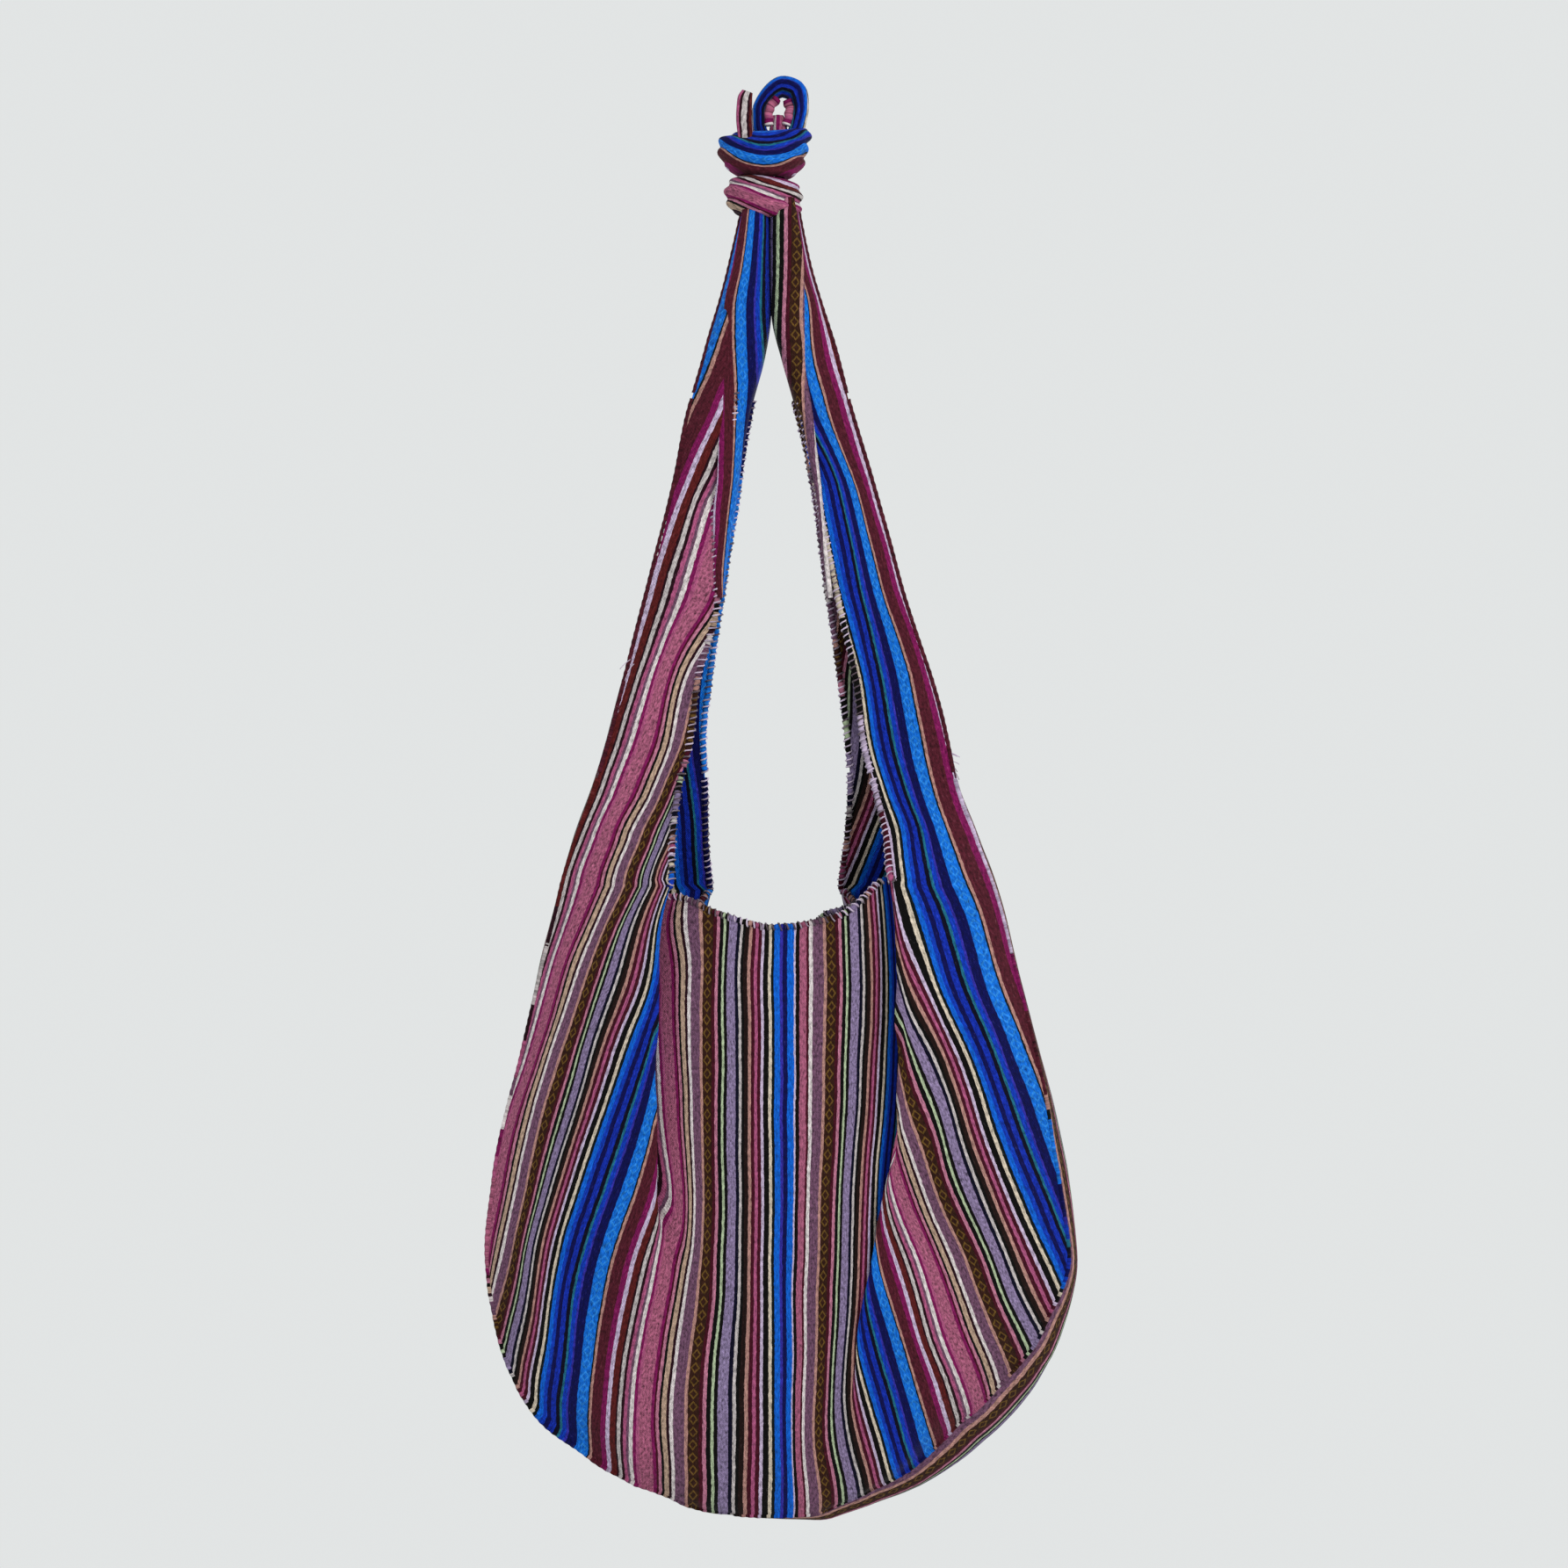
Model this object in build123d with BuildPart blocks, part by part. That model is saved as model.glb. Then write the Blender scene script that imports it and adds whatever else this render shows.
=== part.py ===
from build123d import *
import os
from math import cos, copysign, pi, radians, sin

# A slouchy striped cotton sling bag, hung by its knotted strap. Millimetres, +Z up, the
# front of the bag faces -Y. The origin is where the hanging loop rests on its hook.
#
# From the top down: a hanging loop, the knot, the neck where the two strap arms part, the
# arms, and the bag itself, which is a front panel, a back panel and a gusset between them.

# Soft walls. The cloth is under 1 mm thick, and the solids stand for it with some body.
WALL = 3.0
SEAM_PROUD = 1.5
SEAM_WIDTH = 3.2
EDGING_WIDTH = 4.0
EDGING_PROUD = 0.7
REACH = 200.0  # longer than the object is wide or deep, for cuts that go right through

# Hanging loop: a gathered bight of strap, an eye above a rounded root that sits in the knot.
LOOP_DEPTH = 16.0
LOOP_CROWN_RADIUS = 13.0
LOOP_CROWN_Z = 0.6
LOOP_ROOT_RADIUS = 9.0
LOOP_EDGE_ROUND = 3.0
EYE_RADIUS = 4.6
EYE_HEIGHT = 10.4
KNOT_PIVOT_Z = -16.0
KNOT_TILT = 20.0
LOOP_CLEARANCE = 0.8

# Knot: two wraps of strap round a gathered core.
KNOT_X = -8.0
KNOT_CORE = (9.0, 7.0)
KNOT_BOTTOM_Z = -60.0
KNOT_WRAPS = {
    # name: base height, height of the wrap, half width, half depth, lean of its axis, round
    "knot_upper_wrap": (-38.0, 22.0, 23.0, 18.5, 0.05, 8.0),
    "knot_lower_wrap": (-58.4, 19.4, 20.0, 16.5, -0.06, 7.0),
}
STRAP_END_FOOT = (-17.5, -13.0, -21.0)
STRAP_END_SIZE = (6.0, 3.5, 24.0)
STRAP_END_ROUND = 1.5

# Strap arms, each a front and a back layer: height, outer edge, inner edge, half thickness.
NECK_AXIS_Z = -70.0
NECK_RADIUS = 9.0
FOLD_AXIS_Z = -339.0
FOLD_RADIUS = 6.0
ARM_LEVELS = {
    "left": [
        (-58, -20.5, -4.9, 9.0),
        (-110, -31.0, -5.2, 7.8),
        (-148, -41.5, -10.0, 6.6),
        (-200, -54.5, -19.0, 5.6),
        (-255, -68.5, -28.5, 5.2),
        (-300, -80.0, -35.0, 5.2),
        (-350, -93.0, -40.0, 5.4),
    ],
    "right": [
        (-58, 11.0, -4.1, 9.0),
        (-110, 23.0, 0.5, 7.8),
        (-148, 34.5, 7.0, 6.6),
        (-200, 49.0, 16.5, 5.6),
        (-255, 65.0, 25.5, 5.2),
        (-300, 78.5, 32.0, 5.2),
        (-350, 93.0, 38.5, 5.4),
    ],
}
ARM_EDGE = 3.0
ARM_ROUND = 0.45  # corner radius as a share of the smaller side of the section

# Bag: height, half width, front and back at each level, from the arms down.
BAG_LEVELS = [
    (-346, 92.0, -7.5, 8.5),
    (-372, 102.5, -15.0, 16.0),
    (-400, 111.0, -24.0, 24.0),
    (-424, 118.0, -30.0, 29.0),
    (-476, 128.5, -39.0, 35.0),
    (-530, 140.0, -43.0, 37.0),
    (-585, 149.0, -43.0, 37.5),
    (-640, 140.5, -39.0, 37.0),
    (-675, 121.5, -34.0, 36.0),
    (-700, 92.0, -28.0, 34.0),
    (-717, 60.0, -23.0, 31.0),
    (-727, 28.0, -17.0, 28.0),
]
BAG_TOP_Z = BAG_LEVELS[0][0]
SECTION_POINTS = 12
SECTION_POWER = 0.8  # under 1 squares the section off a little, as a full bag is
DRAFT = 0.8  # how far a form also grows downwards, for each millimetre that it grows outwards
BACK_PLANE_Y = 36.6

# The gusset lies between the two seams, which run down from the arms: depth and height.
FRONT_SEAM = [(-2.0, -340), (-12.0, -400), (-20.0, -460), (-23.0, -570), (-18.0, -680), (-5.0, -740)]
BACK_SEAM = [(2.0, -340), (15.0, -400), (24.0, -460), (28.0, -570), (26.0, -680), (16.0, -740)]

# Mouth edges, seen from the front. The back one is narrower and hangs lower.
MOUTH_MIDDLE_Z = -385.0
FRONT_MOUTH = [
    (-43, -320), (-55, -372), (-54, -400), (-37, -416), (0, -424.5),
    (37, -417), (54, -400), (56, -372), (43, -320),
]
BACK_MOUTH = [
    (-38, -320), (-37, -370), (-34, -418), (-22, -438), (-5, -445),
    (12, -438), (24, -418), (35, -370), (36, -320),
]


def save(part, name):
    part.label = name
    export_step(part, f"parts/{name}.step")


def both(first, second):
    """What two solids have in common."""
    with BuildPart() as common:
        add(first)
        add(second, mode=Mode.INTERSECT)
    return common.part


def less(first, *others):
    """The first solid without the others."""
    with BuildPart() as rest:
        add(first)
        for other in others:
            add(other, mode=Mode.SUBTRACT)
    return rest.part


def half(part, plane, keep):
    """The part on one side of a plane."""
    with BuildPart() as side:
        add(part)
        split(bisect_by=plane, keep=keep)
    return side.part


# Hanging loop ---------------------------------------------------------------------------


def loop_form(turn, margin, depth):
    """The loop's outer form, turned about its root and grown by a margin."""
    rise = LOOP_CROWN_Z - KNOT_PIVOT_Z
    crown = (rise * sin(radians(turn)), KNOT_PIVOT_Z + rise * cos(radians(turn)))
    with BuildPart() as form:
        with BuildSketch(Plane.XZ):
            with Locations((0, KNOT_PIVOT_Z)):
                Circle(LOOP_ROOT_RADIUS + margin)
            with Locations(crown):
                Circle(LOOP_CROWN_RADIUS + margin)
            make_hull()
        extrude(amount=depth / 2 + margin, both=True)
    return form.part


with BuildPart() as hanging_loop:
    add(loop_form(0, 0, LOOP_DEPTH))
    fillet(hanging_loop.edges().filter_by(Axis.Y, reverse=True), LOOP_EDGE_ROUND)
    with BuildSketch(Plane.XZ):
        for height in (-EYE_RADIUS, EYE_RADIUS - EYE_HEIGHT):
            with Locations((0, height)):
                Circle(EYE_RADIUS)
        make_hull()
    extrude(amount=REACH, both=True, mode=Mode.SUBTRACT)

# Knot -----------------------------------------------------------------------------------

loop_sweep = [loop_form(turn, LOOP_CLEARANCE, LOOP_DEPTH) for turn in (-KNOT_TILT, 0, KNOT_TILT)]

with BuildPart() as core_form:
    with BuildSketch(Plane.XY.offset(KNOT_BOTTOM_Z)):
        with Locations((KNOT_X, 0)):
            Ellipse(*KNOT_CORE)
    extrude(amount=KNOT_PIVOT_Z - LOOP_ROOT_RADIUS - KNOT_BOTTOM_Z)

knot_core = less(core_form.part, *loop_sweep)


def knot_wrap(base, height, half_width, half_depth, lean, rounding):
    """A fat rounded ring of strap round the core."""
    with BuildPart() as wrap:
        with BuildSketch(Plane(origin=(KNOT_X, 0, base), z_dir=(lean, 0, 1))):
            Ellipse(half_width, half_depth)
        extrude(amount=height)
        fillet(wrap.faces().sort_by(Axis.Z)[0].edges(), rounding)
        fillet(wrap.faces().sort_by(Axis.Z)[-1].edges(), rounding)
    return less(wrap.part, core_form.part, *loop_sweep)


knot_wraps = {name: knot_wrap(*sizes) for name, sizes in KNOT_WRAPS.items()}
knot_wraps["knot_upper_wrap"] = less(knot_wraps["knot_upper_wrap"], knot_wraps["knot_lower_wrap"])

with BuildPart() as strap_end_form:
    with BuildSketch(Plane(origin=STRAP_END_FOOT)):
        RectangleRounded(STRAP_END_SIZE[0], STRAP_END_SIZE[1], STRAP_END_ROUND)
    extrude(amount=STRAP_END_SIZE[2])

strap_end = less(strap_end_form.part, knot_wraps["knot_upper_wrap"])

# Strap arms -----------------------------------------------------------------------------

with BuildPart() as arm_profile:
    with BuildSketch(Plane.YZ):
        with Locations((0, NECK_AXIS_Z)):
            Circle(NECK_RADIUS)
        with Locations((0, FOLD_AXIS_Z)):
            Circle(FOLD_RADIUS)
        make_hull()
    extrude(amount=REACH, both=True)


def arm_form(levels):
    """A soft ribbon lofted down one arm."""
    with BuildPart() as form:
        for height, outer, inner, half_thickness in levels:
            width = abs(outer - inner)
            depth = 2 * half_thickness
            with BuildSketch(Plane.XY.offset(height)):
                with Locations(((outer + inner) / 2, 0)):
                    RectangleRounded(width, depth, ARM_ROUND * min(width, depth))
        loft()
    return form.part


def arm_pieces(levels):
    """One arm as its front layer, back layer, outer seam and inner edging."""
    arm = both(arm_form(levels), arm_profile.part)
    with BuildPart() as middle:
        for height, outer, inner, half_thickness in levels:
            with BuildSketch(Plane.XY.offset(height)):
                with Locations(((outer + inner) / 2, 0)):
                    Rectangle(abs(outer - inner) - 2 * ARM_EDGE, REACH)
        loft()
    layers = both(arm, middle.part)
    edges = less(arm, middle.part).solids().sort_by(Axis.X)
    if levels[0][1] > levels[0][2]:
        edges = edges[::-1]
    front, back = half(layers, Plane.XZ, Keep.TOP), half(layers, Plane.XZ, Keep.BOTTOM)
    return {"front": front, "back": back, "seam": edges[0], "edging": edges[-1]}


# Bag ------------------------------------------------------------------------------------


def girth_points(half_width, front, back):
    """Points round one level section, a soft superellipse seen from above."""
    middle, half_depth = (front + back) / 2, (back - front) / 2
    points = []
    for step in range(SECTION_POINTS):
        angle = 2 * pi * step / SECTION_POINTS
        across = copysign(abs(cos(angle)) ** SECTION_POWER, cos(angle))
        deep = copysign(abs(sin(angle)) ** SECTION_POWER, sin(angle))
        points.append((half_width * across, middle + half_depth * deep))
    return points


def bag_form(grow):
    """The whole bag as one solid, grown by a margin, with its back lying flat."""
    with BuildPart() as form:
        for level, half_width, front, back in BAG_LEVELS:
            with BuildSketch(Plane.XY.offset(level - DRAFT * grow)):
                with BuildLine():
                    Spline(*girth_points(half_width + grow, front - grow, back + grow), periodic=True)
                make_face()
        loft()
        split(bisect_by=Plane.XZ.offset(-(BACK_PLANE_Y + min(grow, 0))), keep=Keep.TOP)
    return form.part


def widened(outline, margin):
    """A mouth outline moved outwards, away from the middle of the mouth."""
    moved = []
    for across, height in outline:
        away = Vector(across, height - MOUTH_MIDDLE_Z).normalized() * margin
        moved.append((across + away.X, height + away.Y))
    return moved


def mouth_prism(outline, way):
    """A prism in the shape of one mouth edge, from mid-bag out through the front or the back."""
    with BuildPart() as prism:
        with BuildSketch(Plane.XZ):
            with BuildLine():
                edge = Spline(*outline)
                Line(edge @ 1, edge @ 0)
            make_face()
        extrude(amount=way * REACH)
    return prism.part


def side_band(front_line, back_line):
    """Everything between two lines seen from the side, right across the bag."""
    with BuildPart() as band:
        with BuildSketch(Plane.YZ):
            with BuildLine():
                front_edge = Polyline(*front_line)
                back_edge = Polyline(*back_line)
                Line(front_edge @ 0, back_edge @ 0)
                Line(front_edge @ 1, back_edge @ 1)
            make_face()
        extrude(amount=REACH, both=True)
    return band.part


def seam_band(line):
    """A narrow band that follows one seam, right across the bag."""
    ahead = [(depth - SEAM_WIDTH / 2, height) for depth, height in line]
    behind = [(depth + SEAM_WIDTH / 2, height) for depth, height in line]
    return side_band(ahead, behind)


with BuildPart() as below_arms:
    with BuildSketch(Plane.XY.offset(BAG_TOP_Z)):
        Rectangle(2 * REACH, 2 * REACH)
    extrude(amount=-2 * REACH)

front_cut = mouth_prism(FRONT_MOUTH, 1)
back_cut = mouth_prism(BACK_MOUTH, -1)
front_edge_cut = mouth_prism(widened(FRONT_MOUTH, EDGING_WIDTH), 1)
back_edge_cut = mouth_prism(widened(BACK_MOUTH, EDGING_WIDTH), -1)

bag_outer = bag_form(0)
bag_shell = less(bag_outer, bag_form(-WALL))
panels = less(bag_shell, front_edge_cut, back_edge_cut)

gusset_band = side_band(FRONT_SEAM, BACK_SEAM)
gusset = both(panels, gusset_band)
panel_pair = less(panels, gusset_band)
front_panel = half(panel_pair, Plane.XZ, Keep.TOP)
back_panel = half(panel_pair, Plane.XZ, Keep.BOTTOM)

edging_shell = less(bag_form(EDGING_PROUD), bag_form(-WALL - EDGING_PROUD))
edging_shell = both(edging_shell, below_arms.part)
front_mouth_edging = both(edging_shell, less(front_edge_cut, front_cut))
back_mouth_edging = both(edging_shell, less(back_edge_cut, back_cut))

seam_skin = less(bag_form(SEAM_PROUD), bag_outer, front_edge_cut, back_edge_cut)
seam_skin = both(seam_skin, below_arms.part)
front_seam = both(seam_skin, seam_band(FRONT_SEAM))
back_seam = both(seam_skin, seam_band(BACK_SEAM))

# Files ----------------------------------------------------------------------------------

os.makedirs("parts", exist_ok=True)
save(hanging_loop.part, "hanging_loop")
save(knot_core, "knot_core")
for name, wrap in knot_wraps.items():
    save(wrap, name)
save(strap_end, "strap_end")
for side, levels in ARM_LEVELS.items():
    pieces = arm_pieces(levels)
    save(pieces["front"], f"strap_{side}_front")
    save(pieces["back"], f"strap_{side}_back")
    save(pieces["seam"], f"strap_{side}_seam")
    save(pieces["edging"], f"strap_{side}_edging")
save(front_panel, "front_panel")
save(back_panel, "back_panel")
save(gusset, "gusset")
save(front_seam, "front_seam")
save(back_seam, "back_seam")
save(front_mouth_edging, "front_mouth_edging")
save(back_mouth_edging, "back_mouth_edging")
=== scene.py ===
import math
import random

import bpy
import numpy as np
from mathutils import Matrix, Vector, noise


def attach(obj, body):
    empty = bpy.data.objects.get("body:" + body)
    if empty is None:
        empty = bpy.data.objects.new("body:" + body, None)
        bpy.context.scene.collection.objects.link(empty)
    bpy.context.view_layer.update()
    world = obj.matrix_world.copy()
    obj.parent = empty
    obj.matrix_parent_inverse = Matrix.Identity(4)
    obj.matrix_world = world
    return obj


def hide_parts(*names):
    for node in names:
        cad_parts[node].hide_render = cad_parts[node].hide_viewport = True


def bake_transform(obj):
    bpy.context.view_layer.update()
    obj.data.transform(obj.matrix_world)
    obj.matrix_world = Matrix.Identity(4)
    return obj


# The looks of a slouchy sling bag sewn from one warp-striped cotton cloth. Everything soft is a
# thin sheet or a roll laid over the CAD solids. Lengths are millimetres until a mesh is made, and every
# point of a sheet carries its place in the flat cloth: S across the stripes, T along them.

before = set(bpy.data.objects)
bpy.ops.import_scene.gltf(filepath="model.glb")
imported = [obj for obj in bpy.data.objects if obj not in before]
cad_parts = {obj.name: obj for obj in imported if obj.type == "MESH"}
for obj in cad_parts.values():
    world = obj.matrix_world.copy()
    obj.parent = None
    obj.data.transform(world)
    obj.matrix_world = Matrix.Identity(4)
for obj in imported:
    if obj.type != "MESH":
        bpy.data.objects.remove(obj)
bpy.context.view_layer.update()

MM = 0.001
CLOTH = 0.9          # thickness of one layer of cloth
ROW_STEP = 3.2       # distance between rows of points down a sheet
NECK_CUT = -150.0    # the strap layers are cut here, between the knot's and the bag's joints
BAG_CUT = -346.0     # and here, where the strap arms become the bag
LOWEST = -800.0      # a height below the whole bag
SLACK = 1.04         # cloth down the bag is this many times as long as the bag is high
WARP_PITCH = 1.1     # distance between the weave's ribs across the cloth
WEFT_PITCH = 1.3     # and along it

# Cloth colours -----------------------------------------------------------------------------

PALETTE = {
    "azure": "#1A7ADC", "light_azure": "#2186E2", "pale_azure": "#4AA2EA", "royal": "#1C52C4",
    "deep_royal": "#2044B8", "violet": "#4B45B4", "navy": "#141A68", "dark_navy": "#0C0D34",
    "teal": "#33829A", "black": "#14110F", "teal_black": "#132426", "dark_brown": "#35211E",
    "brown": "#4C2E22", "gold": "#8C7038", "beige": "#C8B09E", "beige_pink": "#C49C94",
    "cream": "#DDD2C2", "white": "#E4DCDC", "grey_white": "#CFC8C8", "green_white": "#BFCDB0",
    "lilac_white": "#D3C4DC", "lavender": "#9E8FB0", "maroon": "#5E1B33", "dark_maroon": "#3E1428",
    "maroon_brown": "#6A2E3E", "red_brown": "#742F30", "magenta": "#94286E", "pink": "#BC6E94",
    "soft_pink": "#C98DA4", "mauve": "#86647C", "rose": "#B8748F",
}

# Each run of stripes, left to right: width, colour, and how mottled its yarn is (0 to 1).
STRIPES = {
    "small": [
        (1.7, "white", 0.2), (5.4, "mauve", 0.9), (1.6, "beige_pink", 0.2), (5.4, "brown", 0.3),
        (1.9, "maroon", 0.2), (1.8, "soft_pink", 0.3), (2.2, "black", 0.0), (1.5, "green_white", 0.2),
        (1.8, "black", 0.0), (5.0, "lavender", 0.9), (2.0, "dark_navy", 0.0), (1.6, "grey_white", 0.2),
        (1.8, "black", 0.0), (2.3, "dark_brown", 0.4), (1.8, "beige_pink", 0.2), (2.1, "maroon", 0.2),
        (1.9, "pink", 0.3), (2.0, "maroon", 0.2), (1.6, "lilac_white", 0.2), (3.0, "black", 0.0),
        (1.8, "cream", 0.2), (1.8, "teal_black", 0.0),
    ],
    "wide": [
        (2.4, "azure", 0.2), (2.2, "royal", 0.3), (2.4, "navy", 0.1), (2.8, "deep_royal", 0.6),
        (2.0, "dark_navy", 0.1), (1.3, "teal", 0.3), (2.2, "royal", 0.3), (1.1, "violet", 0.3),
        (4.4, "navy", 0.1), (6.0, "light_azure", 0.3), (0.8, "teal_black", 0.3), (1.4, "beige_pink", 0.2),
    ],
    "pink": [
        (5.4, "maroon_brown", 0.5), (2.8, "magenta", 0.3), (2.1, "lilac_white", 0.2),
        (3.0, "red_brown", 0.3), (1.1, "dark_maroon", 0.0), (2.0, "grey_white", 0.2),
        (1.4, "dark_maroon", 0.0), (1.8, "pink", 0.3), (1.3, "mauve", 0.5), (2.0, "white", 0.2),
        (1.6, "magenta", 0.2), (1.5, "pink", 0.3), (6.4, "rose", 1.0), (1.6, "magenta", 0.3),
        (1.1, "maroon", 0.0), (1.5, "soft_pink", 0.2), (1.4, "black", 0.0), (2.5, "beige", 0.5),
        (1.5, "dark_maroon", 0.0),
    ],
    "narrow": [
        (3.2, "azure", 0.2), (1.6, "violet", 0.2), (2.4, "navy", 0.0), (3.4, "azure", 0.2),
        (0.9, "lilac_white", 0.2), (1.9, "black", 0.0), (3.4, "rose", 0.5), (1.2, "maroon", 0.1),
    ],
}
# The stripes that hold a chain of woven diamonds: the stripe's number, its diamonds' colour.
DIAMONDS = {"small": (3, "gold"), "wide": (9, "pale_azure")}
DIAMOND_LENGTH = 7.0
# Where each run of stripes starts across the cloth.
REPEAT = [
    (-327, "wide"), (-298, "small"), (-246, "wide"), (-217, "pink"), (-175, "small"),
    (-123, "wide"), (-94, "pink"), (-52, "small"), (0, "narrow"), (18, "small"), (70, "wide"),
    (99, "pink"), (141, "small"), (193, "wide"), (222, "pink"), (264, "small"), (316, "wide"),
]


def colour(name):
    """A palette colour as linear red, green, blue, 1."""
    parts = [int(PALETTE[name][i:i + 2], 16) / 255 for i in (1, 3, 5)]
    return tuple(c / 12.92 if c <= 0.04045 else ((c + 0.055) / 1.055) ** 2.4 for c in parts) + (1.0,)


class Nodes:
    """Short calls that add shader nodes to one node tree."""

    def __init__(self, tree):
        self.tree = tree

    def put(self, kind, **settings):
        node = self.tree.nodes.new(kind)
        for name, value in settings.items():
            setattr(node, name, value)
        return node

    def wire(self, value, socket):
        if isinstance(value, bpy.types.NodeSocket):
            self.tree.links.new(value, socket)
        else:
            socket.default_value = value

    def maths(self, operation, first, second=0.0, clamp=False):
        node = self.put("ShaderNodeMath", operation=operation, use_clamp=clamp)
        self.wire(first, node.inputs[0])
        self.wire(second, node.inputs[1])
        return node.outputs[0]

    def vector(self, x, y, z=0.0):
        node = self.put("ShaderNodeCombineXYZ")
        for value, socket in zip((x, y, z), node.inputs):
            self.wire(value, socket)
        return node.outputs[0]

    def noise(self, place, scale, detail=2.0, roughness=0.5):
        node = self.put("ShaderNodeTexNoise")
        self.wire(place, node.inputs["Vector"])
        node.inputs["Scale"].default_value = scale
        node.inputs["Detail"].default_value = detail
        node.inputs["Roughness"].default_value = roughness
        return node.outputs["Fac"]

    def mix(self, amount, first, second, blend="MIX"):
        node = self.put("ShaderNodeMix", data_type="RGBA", blend_type=blend)
        self.wire(amount, node.inputs["Factor"])
        self.wire(first, node.inputs["A"])
        self.wire(second, node.inputs["B"])
        return node.outputs["Result"]

    def surface(self, shade, height, strength, distance, settings):
        """The tree's bump, shader and output, with the shader's other settings by name."""
        bump = self.put("ShaderNodeBump")
        bump.inputs["Strength"].default_value = strength
        bump.inputs["Distance"].default_value = distance
        self.wire(height, bump.inputs["Height"])
        shader = self.put("ShaderNodeBsdfPrincipled")
        for name, value in settings.items():
            shader.inputs[name].default_value = value
        self.wire(shade, shader.inputs["Base Color"])
        self.wire(bump.outputs[0], shader.inputs["Normal"])
        output = self.put("ShaderNodeOutputMaterial")
        self.wire(shader.outputs[0], output.inputs["Surface"])


def empty_material(name):
    """A material with no nodes yet, and the calls that add them."""
    material = bpy.data.materials.new(name)
    material.use_nodes = True
    material.node_tree.nodes.clear()
    return material, Nodes(material.node_tree)


def stripe_group(kind):
    """A node group with one run of stripes: millimetres across and along in, colour and mottle out."""
    group = bpy.data.node_groups.new(f"stripes_{kind}", "ShaderNodeTree")
    for name in ("Across", "Along"):
        group.interface.new_socket(name, in_out="INPUT", socket_type="NodeSocketFloat")
    group.interface.new_socket("Color", in_out="OUTPUT", socket_type="NodeSocketColor")
    group.interface.new_socket("Mottle", in_out="OUTPUT", socket_type="NodeSocketFloat")
    add = Nodes(group)
    entry, leave = add.put("NodeGroupInput"), add.put("NodeGroupOutput")
    stripes = STRIPES[kind]
    total = sum(width for width, _, _ in stripes)
    ramp = add.put("ShaderNodeValToRGB")
    ramp.color_ramp.interpolation = "CONSTANT"
    edges = np.cumsum([0] + [width for width, _, _ in stripes])
    for number, (_, name, mottle) in enumerate(stripes):
        if number < 2:
            stop = ramp.color_ramp.elements[number]
            stop.position = edges[number] / total
        else:
            stop = ramp.color_ramp.elements.new(edges[number] / total)
        stop.color = colour(name)[:3] + (mottle,)
    add.wire(add.maths("DIVIDE", entry.outputs["Across"], total), ramp.inputs["Fac"])
    result = ramp.outputs["Color"]
    if kind in DIAMONDS:
        number, name = DIAMONDS[kind]
        low, high = edges[number], edges[number + 1]
        across = add.maths("SUBTRACT", entry.outputs["Across"], (low + high) / 2)
        across = add.maths("DIVIDE", across, (high - low) / 2)
        along = add.maths("PINGPONG", entry.outputs["Along"], DIAMOND_LENGTH / 2)
        along = add.maths("DIVIDE", along, DIAMOND_LENGTH / 2)
        size = add.maths("ADD", add.maths("ABSOLUTE", across), along)
        outline = add.maths("COMPARE", size, 0.72)
        outline.node.inputs[2].default_value = 0.17
        inside = add.maths("LESS_THAN", add.maths("ABSOLUTE", across), 0.94)
        shown = add.maths("MULTIPLY", add.maths("MULTIPLY", outline, inside), 0.75)
        result = add.mix(shown, result, colour(name))
    add.wire(result, leave.inputs["Color"])
    add.wire(ramp.outputs["Alpha"], leave.inputs["Mottle"])
    return group


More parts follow.
